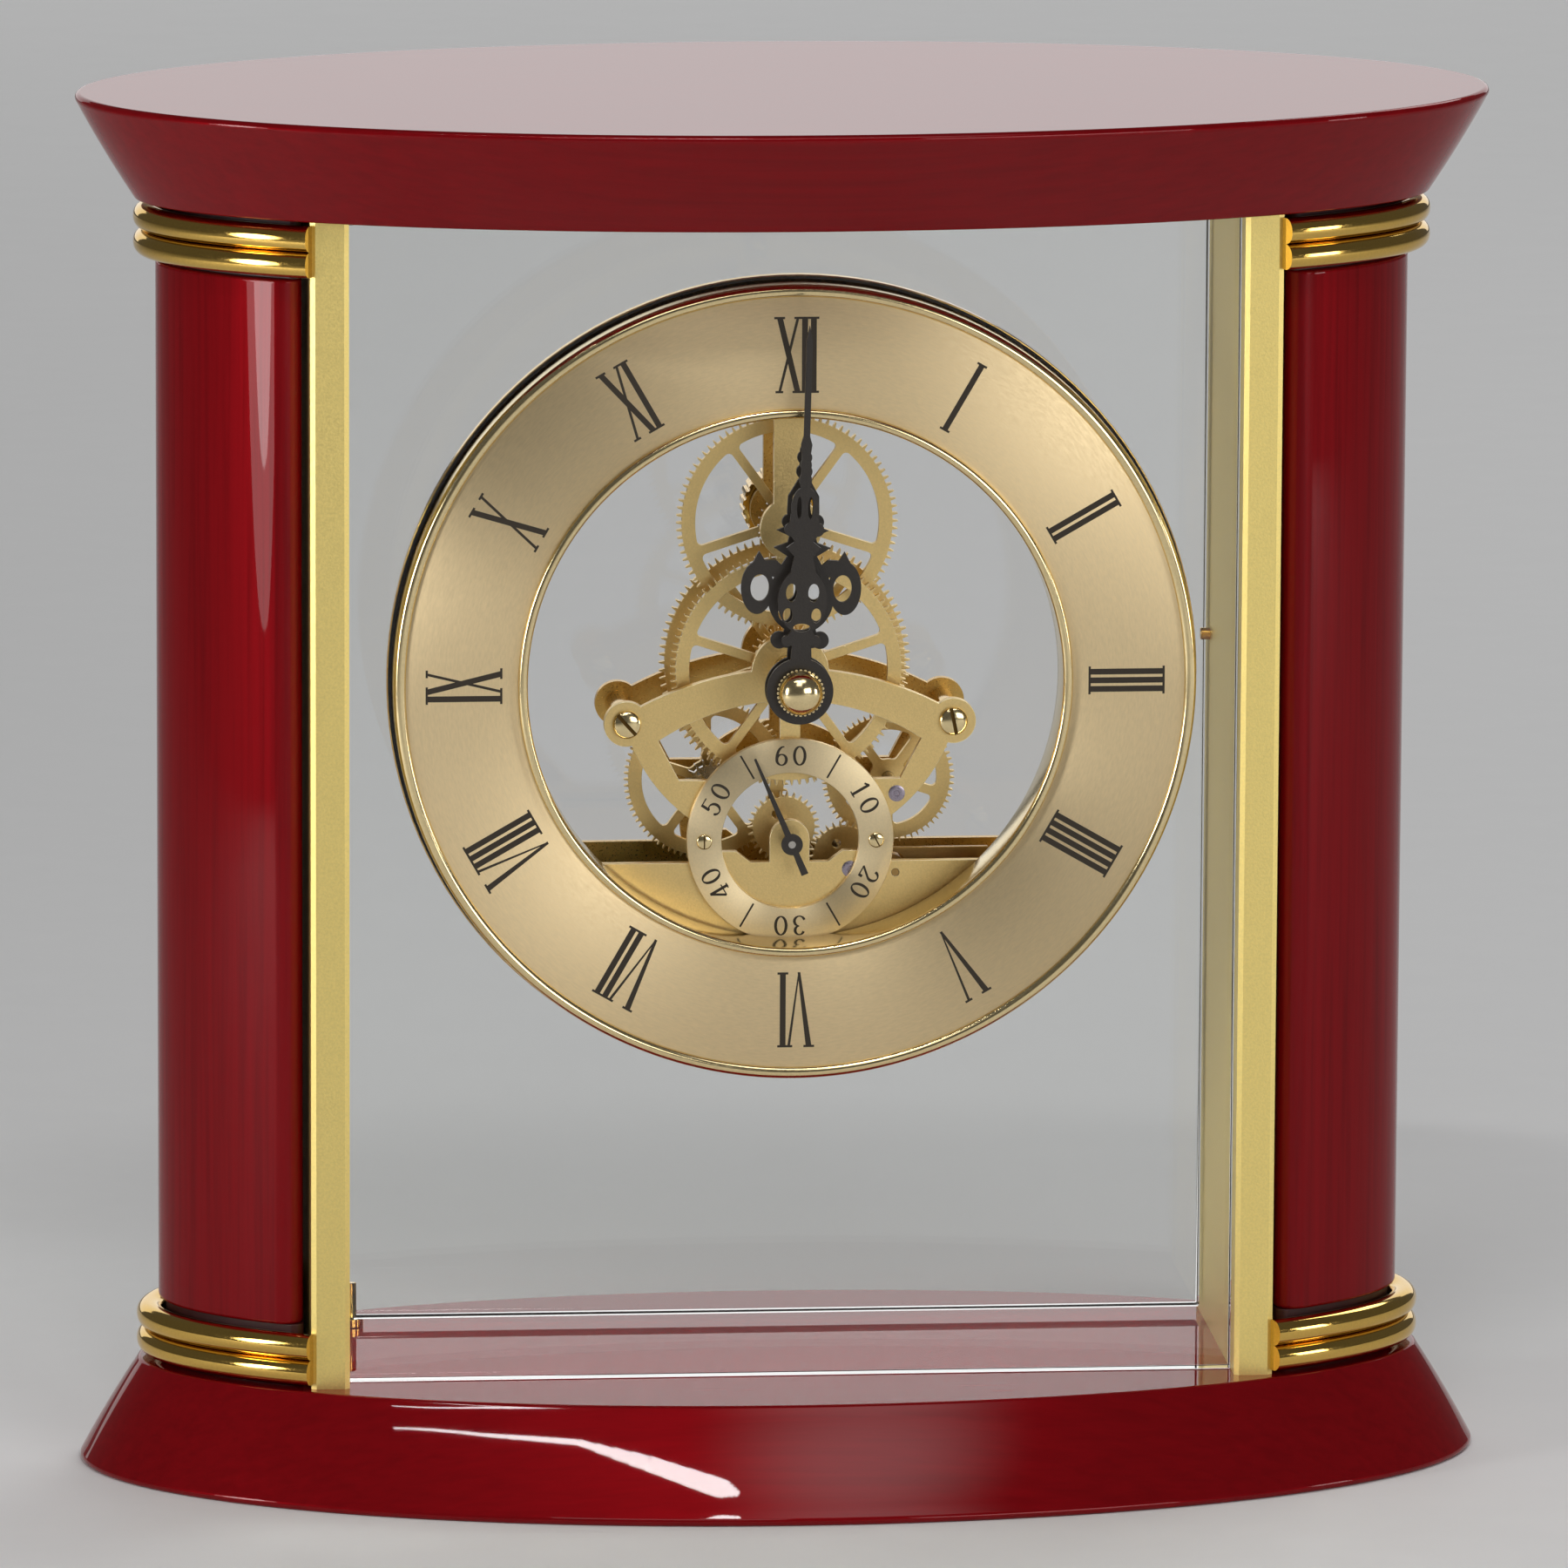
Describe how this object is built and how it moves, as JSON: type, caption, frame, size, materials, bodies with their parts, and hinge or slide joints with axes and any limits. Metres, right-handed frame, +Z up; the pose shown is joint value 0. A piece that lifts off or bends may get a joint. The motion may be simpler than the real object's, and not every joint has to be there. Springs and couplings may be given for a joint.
{
  "type": "mantel clock",
  "caption": "Free-standing mantel clock: elliptical lacquered base and cap, ringed columns, glazed front and rear door, annular dial on an open wheel movement with three hands.",
  "frame": {"origin": "middle of the base's underside", "axes": "+Z up, +X right as the dial is read, +Y to the back"},
  "size_m": [0.2298, 0.1126, 0.226],
  "materials": {
    "red_lacquer": "high-gloss lacquer",
    "dark_wood": "gloss lacquer",
    "felt": "felt",
    "polished_brass": "mirror polish",
    "satin_brass": "satin",
    "dial_gold": "brushed in circles",
    "movement_gold": "satin, bright edges",
    "steel": "turned",
    "clear_glass": "polished",
    "black_hands": "satin black",
    "gold_plastic": "moulded",
    "black_plastic": "moulded",
    "cell_wrap": "plain wrap",
    "board": "laminate",
    "copper_coil": "enamelled wire"
  },
  "bodies": {
    "case": {"base": "red_lacquer", "base_felt": "felt", "top_cap": "red_lacquer", "left_column": "red_lacquer", "right_column": "red_lacquer", "column_cores": "dark_wood", "lower_left_ring": "polished_brass", "lower_right_ring": "polished_brass", "upper_left_ring": "polished_brass", "upper_right_ring": "polished_brass", "left_upright": "satin_brass", "right_upright": "satin_brass", "front_glass": "clear_glass", "door_stop": "steel", "tie_rods": "steel", "tie_nuts": "steel", "cap_inserts": "steel", "dial_plate": "dial_gold", "outer_bezel": "polished_brass", "inner_bezel": "polished_brass", "dial_carrier": "movement_gold", "clamp_ring": "movement_gold", "carrier_screws": "polished_brass", "front_plate": "movement_gold", "rear_plate": "movement_gold", "front_arm": "movement_gold", "rear_arm": "movement_gold", "plate_pillars": "polished_brass", "plate_screws": "polished_brass", "sub_dial": "dial_gold", "sub_dial_screws": "polished_brass", "battery_case": "gold_plastic", "case_screws": "polished_brass", "battery": "cell_wrap", "battery_contacts": "steel", "circuit_board": "board", "motor_stator": "steel", "motor_coil": "copper_coil"},
    "rear_door": {"rear_glass": "clear_glass", "door_pivots": "polished_brass"},
    "minute_train": {"centre_arbor": "steel", "centre_wheel": "movement_gold", "cannon_pinion": "movement_gold", "minute_hand": "black_hands", "hand_nut": "polished_brass"},
    "hour_train": {"hour_wheel": "movement_gold", "hour_hand": "black_hands"},
    "motion_work": {"motion_wheel": "movement_gold", "motion_arbor": "steel", "setting_knob": "black_plastic"},
    "third_train": {"third_wheel": "movement_gold", "third_arbor": "steel"},
    "seconds_train": {"seconds_wheel": "movement_gold", "seconds_arbor": "steel", "seconds_hand": "black_hands"},
    "idler_train": {"idler_wheel": "movement_gold", "idler_arbor": "steel"},
    "side_train": {"side_wheel": "movement_gold", "side_arbor": "steel"},
    "rotor": {"motor_rotor": "steel"}
  },
  "joints": [
    {"name": "minute_turn", "type": "hinge", "parent": "case", "child": "minute_train", "pos_m": [0, 0, 0.1325], "axis": [0, 1, 0], "continuous": true},
    {"name": "hour_turn", "type": "hinge", "parent": "case", "child": "hour_train", "pos_m": [0, 0, 0.1325], "axis": [0, 1, 0], "continuous": true},
    {"name": "motion_turn", "type": "hinge", "parent": "case", "child": "motion_work", "pos_m": [0, 0, 0.1561], "axis": [0, 1, 0], "continuous": true},
    {"name": "third_turn", "type": "hinge", "parent": "case", "child": "third_train", "pos_m": [-0.01242, 0, 0.11253], "axis": [0, 1, 0], "continuous": true},
    {"name": "seconds_turn", "type": "hinge", "parent": "case", "child": "seconds_train", "pos_m": [0, 0, 0.105], "axis": [0, 1, 0], "continuous": true},
    {"name": "idler_turn", "type": "hinge", "parent": "case", "child": "idler_train", "pos_m": [0.00991, 0, 0.1], "axis": [0, 1, 0], "continuous": true},
    {"name": "side_turn", "type": "hinge", "parent": "case", "child": "side_train", "pos_m": [0.01743, 0, 0.11242], "axis": [0, 1, 0], "continuous": true},
    {"name": "rotor_turn", "type": "hinge", "parent": "case", "child": "rotor", "pos_m": [0.01728, 0, 0.09935], "axis": [0, 1, 0], "continuous": true},
    {"name": "rear_door_swing", "type": "hinge", "parent": "case", "child": "rear_door", "pos_m": [-0.06945, 0.0205, 0.113], "axis": [0, 0, 1], "range_deg": [0, 95]}
  ],
  "couplings": [
    {"joint": "hour_turn", "follows": "minute_turn", "ratio": 0.083333},
    {"joint": "motion_turn", "follows": "minute_turn", "ratio": -0.33333},
    {"joint": "third_turn", "follows": "minute_turn", "ratio": -6},
    {"joint": "seconds_turn", "follows": "minute_turn", "ratio": 60},
    {"joint": "idler_turn", "follows": "minute_turn", "ratio": -60},
    {"joint": "side_turn", "follows": "minute_turn", "ratio": 22.5},
    {"joint": "rotor_turn", "follows": "minute_turn", "ratio": 180}
  ]
}
